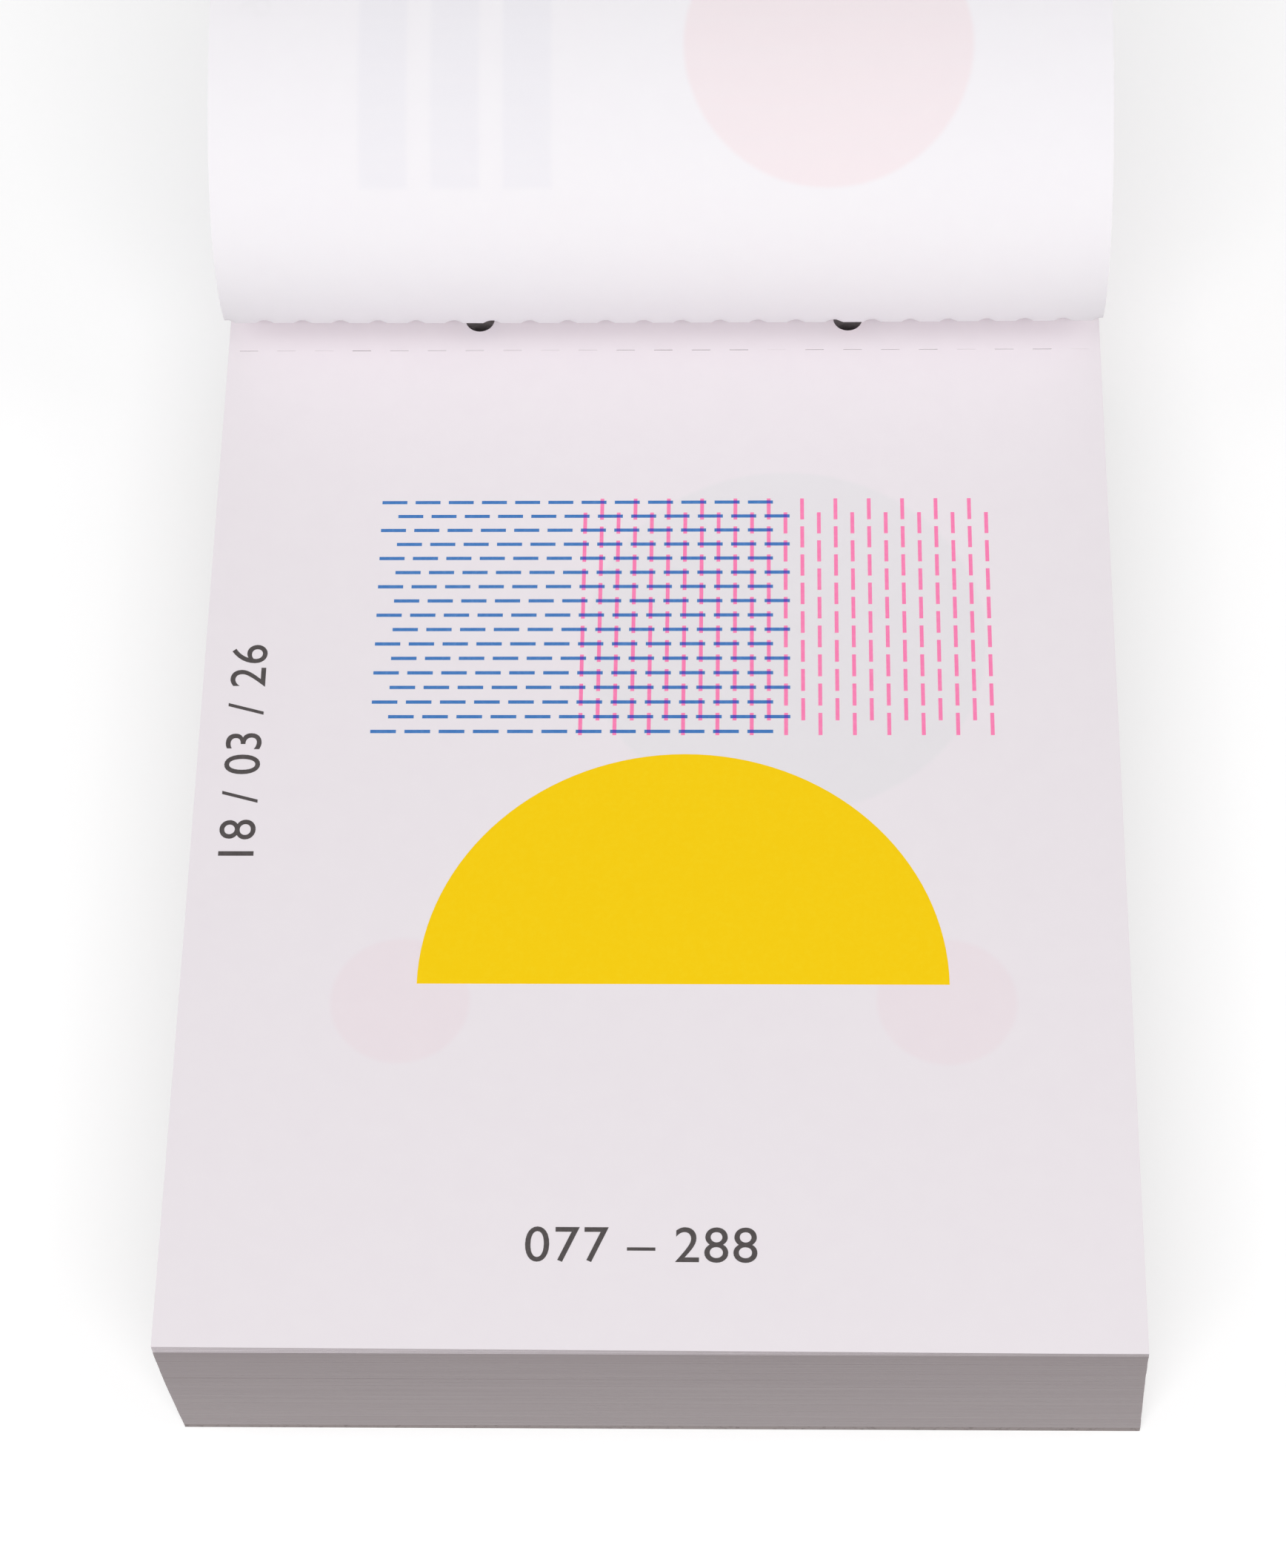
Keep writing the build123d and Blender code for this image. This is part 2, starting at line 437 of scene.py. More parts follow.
def paper_material(name, white=PAPER_WHITE, cloud=PAPER_CLOUD, uv_map=None, see_through=0, ghosts=()):
    """Uncoated paper. A ghost is print that shows through, placed by UV: (kind, centre, size, tint)."""
    material, tree, surface = new_material(name, roughness=0.88, ior=1.45)
    if uv_map:
        place = add_node(tree, "ShaderNodeUVMap", uv_map=uv_map).outputs["UV"]
    else:
        place = add_node(tree, "ShaderNodeTexCoord").outputs["Object"]
    clouds = add_node(
        tree, "ShaderNodeTexNoise",
        {"Vector": place, "Scale": 1 / CLOUD_SIZE, "Detail": 5, "Roughness": 0.6},
    )
    colour = add_node(
        tree, "ShaderNodeMix", {"Factor": clouds, 6: linear(white), 7: linear(cloud)}, data_type="RGBA"
    ).outputs[2]
    for kind, centre, size, tint in ghosts:
        offset = add_node(tree, "ShaderNodeVectorMath", {0: place, 1: (*centre, 0)}, operation="SUBTRACT")
        if kind == "disc":
            far = add_node(tree, "ShaderNodeVectorMath", {0: offset}, operation="LENGTH").outputs["Value"]
            outside = add_node(tree, "ShaderNodeMath", {0: far, 1: size[0]}, operation="SUBTRACT")
        else:
            away = add_node(tree, "ShaderNodeVectorMath", {0: offset}, operation="ABSOLUTE")
            past = add_node(tree, "ShaderNodeVectorMath", {0: away, 1: (*size, 0)}, operation="SUBTRACT")
            sides = add_node(tree, "ShaderNodeSeparateXYZ", {0: past}).outputs
            outside = add_node(tree, "ShaderNodeMath", {0: sides["X"], 1: sides["Y"]}, operation="MAXIMUM")
        inside = add_node(
            tree, "ShaderNodeMapRange",
            {"Value": outside, "From Min": SHOW_THROUGH_BLUR, "From Max": -SHOW_THROUGH_BLUR},
            interpolation_type="SMOOTHSTEP",
        )
        colour = add_node(
            tree, "ShaderNodeMix",
            {"Factor": inside, 6: colour, 7: linear(tint)}, data_type="RGBA", blend_type="MULTIPLY",
        ).outputs[2]
    tree.links.new(colour, surface.inputs["Base Color"])
    tooth = add_node(
        tree, "ShaderNodeTexNoise",
        {"Vector": place, "Scale": 1 / TOOTH_SIZE, "Detail": 3, "Roughness": 0.6},
    )
    bump = add_node(tree, "ShaderNodeBump", {"Height": tooth, "Strength": 0.25, "Distance": 0.02 * MM})
    tree.links.new(bump.outputs[0], surface.inputs["Normal"])
    if see_through:
        glow = add_node(tree, "ShaderNodeBsdfTranslucent", {"Color": colour, "Normal": bump})
        both = add_node(tree, "ShaderNodeMixShader", {0: see_through, 1: surface, 2: glow})
        tree.links.new(both.outputs[0], tree.nodes["Material Output"].inputs["Surface"])
    return material


# From handling, the front left corners have sprung up in a fan, each a little less than the one above
CORNER_LIFT = 1.35 * MM
LIFT_ALONG_FRONT = 140 * MM
LIFT_ALONG_SIDE = 110 * MM
LIFT_STEP = 5 * MM
CUT_TOLERANCE = 0.0005 * MM


def corner_lift(x, y):
    """How far the top leaf has sprung up at places on the page."""
    along_front = np.clip(1 - (x - board_low.x) / LIFT_ALONG_FRONT, 0, 1)
    along_side = np.clip(1 - (y - TAIL_Y) / LIFT_ALONG_SIDE, 0, 1)
    return CORNER_LIFT * along_front * along_side ** 2


def lift_share(day):
    """Share of the top leaf's lift that a leaf below it has."""
    return (NEXT_DAYS[0] + 1 - day) / (len(NEXT_DAYS) + 1)


def cut_across(work, axis, places):
    """Cuts the faces of a mesh at some places along X, or along Y."""
    across = Vector((1 - axis, axis, 0))
    for place in places:
        bmesh.ops.bisect_plane(
            work, geom=work.verts[:] + work.edges[:] + work.faces[:],
            dist=CUT_TOLERANCE, plane_co=float(place) * across, plane_no=across,
        )


def spring_up(mesh, share):
    """Cuts a flat leaf in small squares where its corner lifts, and lifts it."""
    work = bmesh.new()
    work.from_mesh(mesh)
    for axis, (start, reach) in enumerate(((board_low.x, LIFT_ALONG_FRONT), (TAIL_Y, LIFT_ALONG_SIDE))):
        cut_across(work, axis, start + LIFT_STEP * np.arange(1, round(reach / LIFT_STEP) + 1))
    for vert in work.verts:
        vert.co.z += share * corner_lift(vert.co.x, vert.co.y)
    work.to_mesh(mesh)
    work.free()


page_paper = paper_material("uncoated_paper")
for seed, day in enumerate(NEXT_DAYS):
    leaf = grow(
        f"march_{day}_sheet", drilled_sheets,
        {
            **LEAF_STOCK,
            "Count": 1,
            "Level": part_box(f"march_{day}_leaf")[0].z,
            "Slit Count": SLIT_COUNT,
            "Slit Pitch": SLIT_PITCH,
            "Slit Length": SLIT_LENGTH,
            "Slit Width": SLIT_WIDTH,
            "Perforation Y": PERFORATION_Y,
            "Seed": len(MONTH_SHIFTS) + seed,
            "Face Material": page_paper,
        },
        PAGE_CORNERS, PAGE_EDGES,
    )
    spring_up(leaf.data, lift_share(day))
    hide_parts(f"march_{day}_leaf")
    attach(leaf, "block")

# Print of 19 March: three discs and two rows of numbers, offset printed on the leaf in matt inks.
# A film of ink is much thinner than the paper and takes on its tooth, so it hardly shines.
NEXT_PAGE_Z = next_low.z + LEAF_FILL * LEAF_CALIPER
NEXT_INK_FILM = (1 - LEAF_FILL) * LEAF_CALIPER
NUMERAL_HEIGHT = 5.7 * MM
NUMERAL_SPACING = 1.06
DAY_CENTRE = Vector((-1.4, -82.7)) * MM
DATE_CENTRE = Vector((-67.6, 5.0)) * MM
PAGE_STRIP = 4 * MM
INK_SPECKLE = 0.8 * MM
DISC_SIDES = 72


def printing_ink(name, full, thin):
    """Matt offset ink in its full colour, and in a paler one where the paper's fibres thin it."""
    return grained_material(
        name, {"roughness": 0.8, "ior": 1.48, "specular": 0.2}, (full, thin), [INK_SPECKLE] * 3,
        noise=0.7, spread=(0.45, 0.8), relief=(0.2, 0.02 * MM),
    )


def flat_outline(points):
    """A flat mesh that fills an outline."""
    mesh = bpy.data.meshes.new("outline")
    mesh.from_pydata([(x, y, 0) for x, y in points], [], [range(len(points))])
    return mesh


def arc_points(centre, radius, sweep, steps):
    """Points along an arc that starts at its centre's right and goes round to the left."""
    angles = [sweep * step / steps for step in range(steps + 1)]
    return [(centre[0] + radius * math.cos(a), centre[1] + radius * math.sin(a)) for a in angles]


def flat_disc(centre, radius):
    """A flat mesh of a disc."""
    return flat_outline(arc_points(centre, radius, 2 * math.pi, DISC_SIDES)[:-1])


def flat_text(characters):
    """A flat mesh of some characters, set at size 1."""
    curve = bpy.data.curves.new("characters", "FONT")
    curve.body = characters
    curve.space_character = NUMERAL_SPACING
    curve.resolution_u = 6
    holder = put("characters", curve)
    mesh = worked_out(holder)
    bpy.data.objects.remove(holder)
    return mesh


def flat_numerals(characters, centre, turn):
    """A flat mesh of numbers around a place on the leaf, turned about it."""
    tall = max(vert.co.y for vert in flat_text("1").vertices)
    mesh = flat_text(characters)
    width = max(vert.co.x for vert in mesh.vertices) + min(vert.co.x for vert in mesh.vertices)
    to_middle = Matrix.Translation((-width / 2, -tall / 2, 0))
    to_place = Matrix.Translation((*centre, 0)) @ Matrix.Rotation(turn, 4, "Z")
    mesh.transform(to_place @ Matrix.Scale(NUMERAL_HEIGHT / tall, 4) @ to_middle)
    return mesh


def lay_on(mesh, surface):
    """Moves a flat mesh on to a page: X and Y are its place on the leaf, and Z its height above."""
    places = np.zeros(3 * len(mesh.vertices), np.float32)
    mesh.vertices.foreach_get("co", places)
    x, y, height = places.reshape(-1, 3).astype(float).T
    mesh.vertices.foreach_set("co", surface(x, y, height).astype(np.float32).ravel())
    mesh.update()


def ink_film(name, flat, surface, film, strip, ink):
    """A closed film of ink in a flat mesh's shape, cut in strips so that it follows the page under it."""
    work = bmesh.new()
    work.from_mesh(flat)
    bmesh.ops.remove_doubles(work, verts=work.verts, dist=MERGE_REACH)
    for axis in range(2):
        places = [vert.co[axis] for vert in work.verts]
        cut_across(work, axis, np.arange(min(places) + strip, max(places), strip))
    raised = bmesh.ops.extrude_face_region(work, geom=work.faces[:], use_keep_orig=True)["geom"]
    for vert in raised:
        if isinstance(vert, bmesh.types.BMVert):
            vert.co.z += film
    bmesh.ops.recalc_face_normals(work, faces=work.faces)
    mesh = bpy.data.meshes.new(name)
    work.to_mesh(mesh)
    work.free()
    lay_on(mesh, surface)
    mesh.materials.append(ink)
    return put(name, mesh)


def number_films(leaf, days, date, surface, film, strip):
    """Films of grey ink for the numbers below a leaf's middle, and for its date up the left margin."""
    day_numbers = flat_numerals(days, DAY_CENTRE, 0)
    date_numbers = flat_numerals(date, DATE_CENTRE, math.pi / 2)
    return [
        ink_film(f"{leaf}_day_numbers", day_numbers, surface, film, strip, grey_ink),
        ink_film(f"{leaf}_date_numbers", date_numbers, surface, film, strip, grey_ink),
    ]


def next_page(x, y, height):
    """Places on the next leaf's page at a height above it."""
    return np.stack([x, y, NEXT_PAGE_Z + lift_share(NEXT_DAYS[-1]) * corner_lift(x, y) + height], -1)


# The inks: each a clean colour, hardly glossy, with a fine speckle from the paper
blue_ink = printing_ink("blue_offset_ink", "#4177b9", "#5687c3")
pink_ink = printing_ink("pink_offset_ink", "#f97fb2", "#fb8ebb")
grey_ink = printing_ink("dark_grey_offset_ink", "#4f4a4a", "#5c5757")

# A disc's centre and radius in metres, its ink, and its tint where it shows through the leaf above
NEXT_DISCS = {
    "march_19_blue_disc": ((0.021, 0.026), 0.033, blue_ink, "#fafdfc"),
    "march_19_pink_disc_left": ((-0.040, -0.041), 0.011, pink_ink, "#fffafb"),
    "march_19_pink_disc_right": ((0.046, -0.041), 0.011, pink_ink, "#fffafb"),
}
next_prints = [
    ink_film(name, flat_disc(centre, radius), next_page, NEXT_INK_FILM, PAGE_STRIP, ink)
    for name, (centre, radius, ink, tint) in NEXT_DISCS.items()
]
next_prints += number_films(
    "march_19", "078 \u2013 287", "19 / 03 / 26", next_page, NEXT_INK_FILM, PAGE_STRIP
)
for piece in next_prints:
    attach(piece, "block")

# Leaf of 18 March, the one that shows: its stub stays in the pad and the page lies loose below the ties.
# Its front left corner tops the fan that has sprung up.
showing_low, showing_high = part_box("showing_leaf")
NOTCH_STEP = 0.01 * MM
NOTCH_ROOM = 4 * NOTCH_STEP
SLIT_OPENINGS = (0.2, 0.8)
SHARP_ANGLE = math.radians(40)


def slit_columns(pitch_steps):
    """Places along X of a sheet's grid: steep pairs at each slit's ends, and even steps between."""
    centres = (np.arange(SLIT_COUNT) - (SLIT_COUNT - 1) / 2) * SLIT_PITCH
    places = list(np.arange(board_low.x, board_high.x, SLIT_PITCH / pitch_steps)) + [board_high.x]
    for centre in centres:
        for end in (centre - SLIT_LENGTH / 2, centre + SLIT_LENGTH / 2):
            places = [x for x in places if abs(x - end) > NOTCH_ROOM]
            places += [end - NOTCH_STEP, end + NOTCH_STEP]
    return np.array(sorted(places))


def in_slit(columns):
    """True for each place along X that lies on a slit."""
    nearest = np.round(columns / SLIT_PITCH) * SLIT_PITCH
    within = np.abs(nearest) <= (SLIT_COUNT - 1) / 2 * SLIT_PITCH + NOTCH_STEP
    return within & (np.abs(columns - nearest) < SLIT_LENGTH / 2)


def closed_sheet(name, upper, lower, flat):
    """A closed mesh between two grids of points, with their flat places on the leaf as its UV map."""
    rows, columns = upper.shape[:2]
    index = np.arange(rows * columns).reshape(rows, columns)
    under = index + rows * columns
    quads = [
        np.stack([index[:-1, :-1], index[:-1, 1:], index[1:, 1:], index[1:, :-1]], -1),
        np.stack([under[:-1, :-1], under[1:, :-1], under[1:, 1:], under[:-1, 1:]], -1),
    ]
    for side in np.s_[0, :], np.s_[-1, :], np.s_[:, 0], np.s_[:, -1]:
        line, below = index[side], under[side]
        quads.append(np.stack([line[:-1], below[:-1], below[1:], line[1:]], -1))
    faces = np.concatenate([quad.reshape(-1, 4) for quad in quads])
    mesh = bpy.data.meshes.new(name)
    mesh.from_pydata(np.concatenate([upper, lower]).reshape(-1, 3).tolist(), [], faces.tolist())
    places = np.concatenate([flat, flat]).reshape(-1, 2)
    corners = np.zeros(len(mesh.loops), np.int32)
    mesh.loops.foreach_get("vertex_index", corners)
    mesh.uv_layers.new(name="leaf").data.foreach_set("uv", places[corners].astype(np.float32).ravel())
    work = bmesh.new()
    work.from_mesh(mesh)
    bmesh.ops.recalc_face_normals(work, faces=work.faces)
    work.to_mesh(mesh)
    work.free()
    mesh.shade_smooth()
    mesh.set_sharp_from_angle(angle=SHARP_ANGLE)
    return put(name, mesh)


def drill(piece, places, paper):
    """Cuts the hanging holes through a sheet of paper at the given points, along the given directions."""
    for point, direction in places:
        bit = bmesh.new()
        turn = Vector(direction).to_track_quat("Z", "Y").to_matrix().to_4x4()
        bmesh.ops.create_cone(
            bit, cap_ends=True, segments=HOLE_SIDES, radius1=HOLE_DIAMETER / 2, radius2=HOLE_DIAMETER / 2,
            depth=HOLE_DIAMETER, matrix=Matrix.Translation(point) @ turn,
        )
        bit_mesh = bpy.data.meshes.new("drill_bit")
        bit.to_mesh(bit_mesh)
        bit.free()
        bit_piece = put("drill_bit", bit_mesh)
        cutting = piece.modifiers.new("drilling", "BOOLEAN")
        cutting.object = bit_piece
        cutting.solver = "EXACT"
        mesh = worked_out(piece)
        piece.modifiers.clear()
        piece.data = mesh
        bpy.data.objects.remove(bit_piece)
    piece.data.materials.clear()
    piece.data.materials.append(paper)


def showing_surface(x, y, height):
    """Places on the showing leaf's page at a height above it."""
    return np.stack([x, y, showing_high.z + corner_lift(x, y) + height], -1)


# A sheet's rows are given in mm from the perforation, and lie close together next to the slits
columns = slit_columns(2)
slit_opening = np.random.default_rng(18).uniform(*SLIT_OPENINGS, SLIT_COUNT + 2)
nearest_slit = np.round(columns / SLIT_PITCH).astype(int) + (SLIT_COUNT + 1) // 2
notch = np.where(in_slit(columns), slit_opening[nearest_slit] * SLIT_WIDTH / 2, 0)
stub_rows = np.array([0, 0.4, *np.arange(1.5, 15.5, 1.0), 15.5]) * MM
stub_y = PERFORATION_Y + np.maximum(stub_rows[:, None], notch[None, :])
stub_x = np.broadcast_to(columns, stub_y.shape)
showing_stub = closed_sheet(
    "showing_stub_sheet",
    np.stack([stub_x, stub_y, np.full_like(stub_y, showing_high.z)], -1),
    np.stack([stub_x, stub_y, np.full_like(stub_y, showing_low.z)], -1),
    np.stack([stub_x, stub_y], -1),
)
drill(showing_stub, [((x, HOLE_Y, showing_low.z), (0, 0, 1)) for x in hole_xs], page_paper)
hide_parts("showing_stub")
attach(showing_stub, "block")

# The next day's discs show faintly through the page
showing_paper = paper_material(
    "uncoated_paper_showing", uv_map="leaf",
    ghosts=[("disc", centre, (radius, 0), tint) for centre, radius, ink, tint in NEXT_DISCS.values()],
)
leaf_rows = np.array([0, 0.4, *np.arange(1.5, 182, 2.5), 184.5]) * MM
leaf_y = PERFORATION_Y - np.maximum(leaf_rows[:, None], notch[None, :])
leaf_x = np.broadcast_to(columns, leaf_y.shape)
showing_leaf = closed_sheet(
    "showing_leaf_sheet",
    showing_surface(leaf_x, leaf_y, 0),
    showing_surface(leaf_x, leaf_y, -LEAF_CALIPER),
    np.stack([leaf_x, leaf_y], -1),
)
showing_leaf.data.materials.append(showing_paper)
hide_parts("showing_leaf")
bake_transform(showing_leaf)

# Print of 18 March: rows of blue dashes, columns of pink ones across them, and a yellow half disc.
# The inks are printed one over the other, so a pink dash turns violet where it crosses a blue one.
INK_FILM = 0.03 * MM
OVERPRINT_FILM = 1.5 * INK_FILM
DASH_LENGTH = 4.2 * MM
DASH_WIDTH = 0.62 * MM
DASH_PITCH = 5.6 * MM
DASH_ROW_PITCH = DASH_PITCH / 2
BLUE_START = Vector((-44.9, 8.3)) * MM
PINK_START = Vector((-12.7, 9.7)) * MM
BLUE_COUNTS = (12, 17)
PINK_COUNTS = (8, 25)
HALF_DISC_CENTRE = Vector((4.5, -38)) * MM
HALF_DISC_RADIUS = 42 * MM
HALF_DISC_SIDES = 64

# Node tree of printed dashes: a small slab of ink on every place that it is given
printed_dashes, dash_node, dash_given = new_tree(
    "printed_dashes",
    {"Geometry": ["Places"], "Float": ["Length", "Width", "Film"], "Material": ["Ink"]},
    "Dashes",
)
dash_size = dash_node(
    "ShaderNodeCombineXYZ",
    {"X": dash_given["Length"], "Y": dash_given["Width"], "Z": dash_given["Film"]},
)
dash_rise = dash_node("ShaderNodeVectorMath", {0: dash_size, 1: (0, 0, 0.5)}, operation="MULTIPLY")
dash_slab = dash_node("GeometryNodeMeshCube", {"Size": dash_size})
raised_slab = dash_node("GeometryNodeTransform", {"Geometry": dash_slab, "Translation": dash_rise})
laid_dashes = dash_node(
    "GeometryNodeInstanceOnPoints", {"Points": dash_given["Places"], "Instance": raised_slab}
)
whole_dashes = dash_node("GeometryNodeRealizeInstances", {"Geometry": laid_dashes})
inked_dashes = dash_node(
    "GeometryNodeSetMaterial", {"Geometry": whole_dashes, "Material": dash_given["Ink"]}
)
dash_node("NodeGroupOutput", {"Dashes": inked_dashes})


def staggered(counts):
    """Steps along and across the dashes, every second row half a pitch further on."""
    row, step = np.meshgrid(np.arange(counts[1]), np.arange(counts[0]), indexing="ij")
    return DASH_PITCH * (step + row % 2 / 2).ravel(), DASH_ROW_PITCH * row.ravel()


blue_along, blue_across = staggered(BLUE_COUNTS)
pink_along, pink_across = staggered(PINK_COUNTS)
blue_places = np.stack([BLUE_START.x + blue_along, BLUE_START.y + blue_across], -1)
pink_places = np.stack([PINK_START.x + pink_across, PINK_START.y + pink_along], -1)
apart = np.abs(pink_places[None] - blue_places[:, None])
over_blue, over_pink = np.nonzero((apart < DASH_LENGTH / 2).all(-1))
crossings = np.stack([pink_places[over_pink, 0], blue_places[over_blue, 1]], -1)

# Pink over blue makes violet, and the yellow is a strong process yellow
violet_ink = printing_ink("overprinted_violet_ink", "#5c4bb6", "#6a5abe")
yellow_ink = printing_ink("yellow_offset_ink", "#f5cc00", "#f6d011")
showing_prints = []
for name, places, length, width, film, ink in (
    ("showing_blue_dashes", blue_places, DASH_LENGTH, DASH_WIDTH, INK_FILM, blue_ink),
    ("showing_pink_dashes", pink_places, DASH_WIDTH, DASH_LENGTH, INK_FILM, pink_ink),
    ("showing_violet_crossings", crossings, DASH_WIDTH, DASH_WIDTH, OVERPRINT_FILM, violet_ink),
):
    dashes = grow(
        name, printed_dashes,
        {"Length": length, "Width": width, "Film": film, "Ink": ink},
        [(x, y, 0) for x, y in places],
    )
    lay_on(dashes.data, showing_surface)
    showing_prints.append(dashes)
half_disc = flat_outline(arc_points(HALF_DISC_CENTRE, HALF_DISC_RADIUS, math.pi, HALF_DISC_SIDES))
showing_prints.append(
    ink_film("showing_yellow_half_disc", half_disc, showing_surface, INK_FILM, PAGE_STRIP, yellow_ink)
)
showing_prints += number_films(
    "showing", "077 \u2013 288", "18 / 03 / 26", showing_surface, INK_FILM, PAGE_STRIP
)
for piece in showing_prints:
    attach(piece, "showing_leaf")

# Leaf of 17 March, turned up and back: its stub is peeled off the pad from the head edge on.
# The sheet folds at the ties and arches back, and between the ties the slits' cut edges stand straight.
STUB_LENGTH = HEAD_Y - PERFORATION_Y
GLUED_DEPTH = 1.5 * MM
STUB_BEND_RADIUS = 4 * MM
STUB_LIFT = math.radians(29)
FOLD_ANGLE = math.radians(42.3)
LEAF_BENDS = [(24, 27.5), (14, 33), (22, 63), (45, 104), (79.5, 205)]
TIE_BEND = 2.5 * MM
TIE_SOFTNESS = 0.75
FOLD_BOW = Vector((0, 0.1, 0.2)) * MM
FOLD_SAG = Vector((0, -0.1, -0.42)) * MM
BOW_FADE = 70 * MM


def along_bends(start, heading, bends, distance):
    """Place in the YZ plane and heading at a distance along tangent straights and arcs."""
    y, z = start
    for length, radius in bends:
        run = min(distance, length)
        turn = run / radius if radius else 0
        chord = 2 * radius * math.sin(turn / 2) if radius else run
        y += chord * math.cos(heading - turn / 2)
        z += chord * math.sin(heading - turn / 2)
        heading -= turn
        distance -= run
    return y, z, heading


stub_bend_length = STUB_BEND_RADIUS * STUB_LIFT
STUB_BENDS = [
    (GLUED_DEPTH, None),
    (stub_bend_length, STUB_BEND_RADIUS),
    (STUB_LENGTH - GLUED_DEPTH - stub_bend_length, None),
]
STUB_START = (HEAD_Y, BLOCK_TOP + LEAF_CALIPER)
LEAF_ARCS = [(length * MM, radius * MM) for length, radius in LEAF_BENDS]
fold_y, fold_z, stub_heading = along_bends(STUB_START, math.pi, STUB_BENDS, STUB_LENGTH)
FOLD = (fold_y, fold_z)
LEAF_HEADING = stub_heading - FOLD_ANGLE


def leaf_line(distance):
    """Place and heading on the turned leaf's printed side at a distance from the fold."""
    return along_bends(FOLD, LEAF_HEADING, LEAF_ARCS, distance)


def stub_line(distance):
    """Place and heading on the turned stub's printed side at a distance from the fold."""
    return along_bends(STUB_START, math.pi, STUB_BENDS, STUB_LENGTH - distance)


def tie_share(columns):
    """How far each place along X follows the soft bend of a tie: 1 amid a tie, 0 along a slit."""
    nearest = np.round(columns / SLIT_PITCH - 0.5) + 0.5
    from_tie = np.abs(columns - nearest * SLIT_PITCH)
    reach = (SLIT_PITCH - SLIT_LENGTH) / 2
    share = np.clip((reach - from_tie) / (TIE_SOFTNESS * reach), 0, 1)
    return share * share * (3 - 2 * share)


def fold_bend(x):
    """How far back and up the fold line's bow and sag move it at places along X."""
    bow = (x / board_high.x) ** 2
    return FOLD_SAG.y + bow * FOLD_BOW.y, FOLD_SAG.z + bow * FOLD_BOW.z


def folded_grid(columns, rows, own_line, other_line, bow_share):
    """Printed side of a sheet that ends at the fold, its ties bent half way into the other sheet."""
    share = tie_share(columns)
    notch = np.where(in_slit(columns), SLIT_WIDTH / 2, 0)
    own_end = np.array(own_line(TIE_BEND)[:2])
    other_end = np.array(other_line(TIE_BEND)[:2])
    back, up = fold_bend(columns)
    grid = np.zeros((len(rows), len(columns), 3))
    for row, distance in enumerate(rows):
        straight = np.array([own_line(max(distance, step))[:2] for step in (0, SLIT_WIDTH / 2)])
        place = np.where(notch[:, None] > 0, straight[1], straight[0])
        if distance < TIE_BEND:
            part = 0.5 * (1 - distance / TIE_BEND)
            soft = (1 - part) ** 2 * own_end + 2 * part * (1 - part) * np.array(FOLD)
            soft = soft + part ** 2 * other_end
            place = place + share[:, None] * (soft - place)
        grid[row, :, 0] = columns
        grid[row, :, 1] = place[:, 0] + bow_share(distance) * back
        grid[row, :, 2] = place[:, 1] + bow_share(distance) * up
    return grid


def leaf_bow(distance):
    """Share of the fold's bow that the turned leaf still has at a distance from the fold."""
    return max(0, 1 - distance / BOW_FADE) ** 2


def stub_bow(distance):
    """Share of the fold's bow that the turned stub has at a distance from the fold."""
    return (1 - distance / STUB_LENGTH) ** 2


def behind(grid, thickness):
    """The grid moved along its normals, away from the side that its rows and columns turn towards."""
    along = np.gradient(grid, axis=0)
    across = np.gradient(grid, axis=1)
    normal = np.cross(across, along)
    return grid + thickness * normal / np.linalg.norm(normal, axis=2, keepdims=True)


fine_columns = slit_columns(10)
root_rows = [0, 0.15, 0.4, 0.8, 1.2, 1.6, 2, 2.5]
turned_stub_rows = np.array([*root_rows, *np.arange(3.2, 15.4, 0.5), 15.5]) * MM
stub_grid = folded_grid(fine_columns, turned_stub_rows, stub_line, leaf_line, stub_bow)
turned_stub = closed_sheet(
    "turned_stub_sheet",
    stub_grid,
    behind(stub_grid, -LEAF_CALIPER),
    np.stack(np.meshgrid(fine_columns, PERFORATION_Y + turned_stub_rows), -1),
)
hole_y, hole_z, hole_heading = stub_line(HOLE_Y - PERFORATION_Y)
hole_way = (0, -math.sin(hole_heading), math.cos(hole_heading))
drill(turned_stub, [((x, hole_y, hole_z), hole_way) for x in hole_xs], page_paper)
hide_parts("turned_stub")
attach(turned_stub, "block")

# Its own print shows faintly through the back of the turned leaf, which is lit from both sides:
# bars and a disc have their centres and sizes in metres, and their tints on the back
BAR_XS = (-0.046, -0.034, -0.022)
BAR_Y = 0.020
BAR_HALF_SIZE = (0.004, 0.034)
BAR_TINT = "#fdfdfe"
TURNED_DISC_CENTRE = (0.028, 0.030)
TURNED_DISC_RADIUS = 0.024
TURNED_DISC_TINT = "#fff8f8"
# The turned leaf is the same paper as the page, painted whiter: painted light for the brighter light that
# falls on it
TURNED_LIT_WHITE = "#f5f3f6"
TURNED_LIT_CLOUD = "#f3f0f4"
TURNED_SEE_THROUGH = 0.1
turned_ghosts = [("bar", (x, BAR_Y), BAR_HALF_SIZE, BAR_TINT) for x in BAR_XS]
turned_ghosts.append(("disc", TURNED_DISC_CENTRE, (TURNED_DISC_RADIUS, 0), TURNED_DISC_TINT))
# Paper of the turned leaf, painted whiter than the page as painted light
lit_turned_paper = paper_material(
    "uncoated_paper_turned_painted_light", TURNED_LIT_WHITE, TURNED_LIT_CLOUD,
    uv_map="leaf", see_through=TURNED_SEE_THROUGH, ghosts=turned_ghosts,
)
turned_rows = np.array([*root_rows, *np.arange(3.5, 20, 1.25), *np.arange(21, 184, 2.5), 184.5]) * MM
leaf_grid = folded_grid(fine_columns, turned_rows, leaf_line, stub_line, leaf_bow)
turned_leaf = closed_sheet(
    "turned_leaf_sheet",
    leaf_grid,
    behind(leaf_grid, LEAF_CALIPER),
    np.stack(np.meshgrid(fine_columns, PERFORATION_Y - turned_rows), -1),
)
turned_leaf.data.materials.append(lit_turned_paper)
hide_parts("turned_leaf")
# The bend at the fold is measured up and back, so that the far end, which comes down behind, is past it
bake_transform(turned_leaf)

